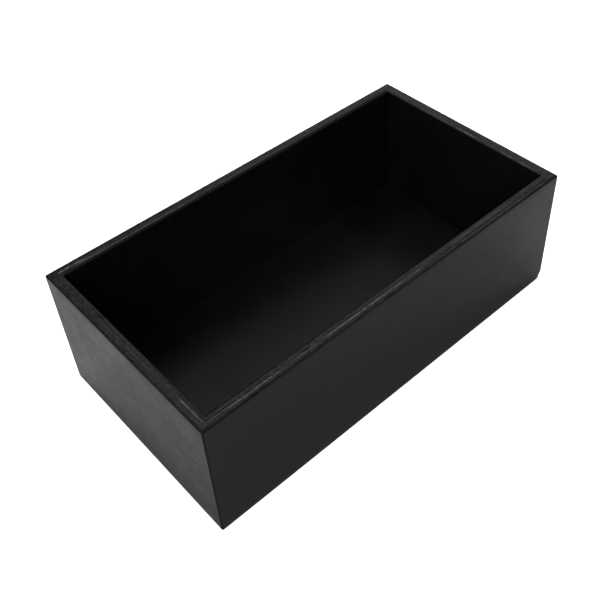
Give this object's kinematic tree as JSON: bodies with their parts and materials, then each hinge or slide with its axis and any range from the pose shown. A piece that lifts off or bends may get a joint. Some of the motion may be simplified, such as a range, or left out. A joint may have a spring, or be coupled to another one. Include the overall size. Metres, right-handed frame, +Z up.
{
  "type": "open-topped plywood box",
  "caption": "Open-topped rectangular box of mitred painted plywood boards around a grooved-in bottom panel, for holding or displaying small items.",
  "frame": {"origin": "middle of the base, at the height of the surface that the box stands on", "axes": "+X along the long side, +Y along the short side towards the back long board, +Z up"},
  "size_m": [0.325, 0.175, 0.106],
  "materials": {
    "painted_boards": "satin black paint",
    "painted_panel": "satin black paint",
    "bare_spline": "bare plywood",
    "pin_steel": "bright"
  },
  "bodies": {
    "root": {"front_wall": "painted_boards", "back_wall": "painted_boards", "left_wall": "painted_boards", "right_wall": "painted_boards", "bottom_panel": "painted_panel", "spline_front_left": "bare_spline", "spline_front_right": "bare_spline", "spline_back_left": "bare_spline", "spline_back_right": "bare_spline", "pins_front_left": "pin_steel", "pins_front_right": "pin_steel", "pins_back_left": "pin_steel", "pins_back_right": "pin_steel"}
  },
  "joints": []
}
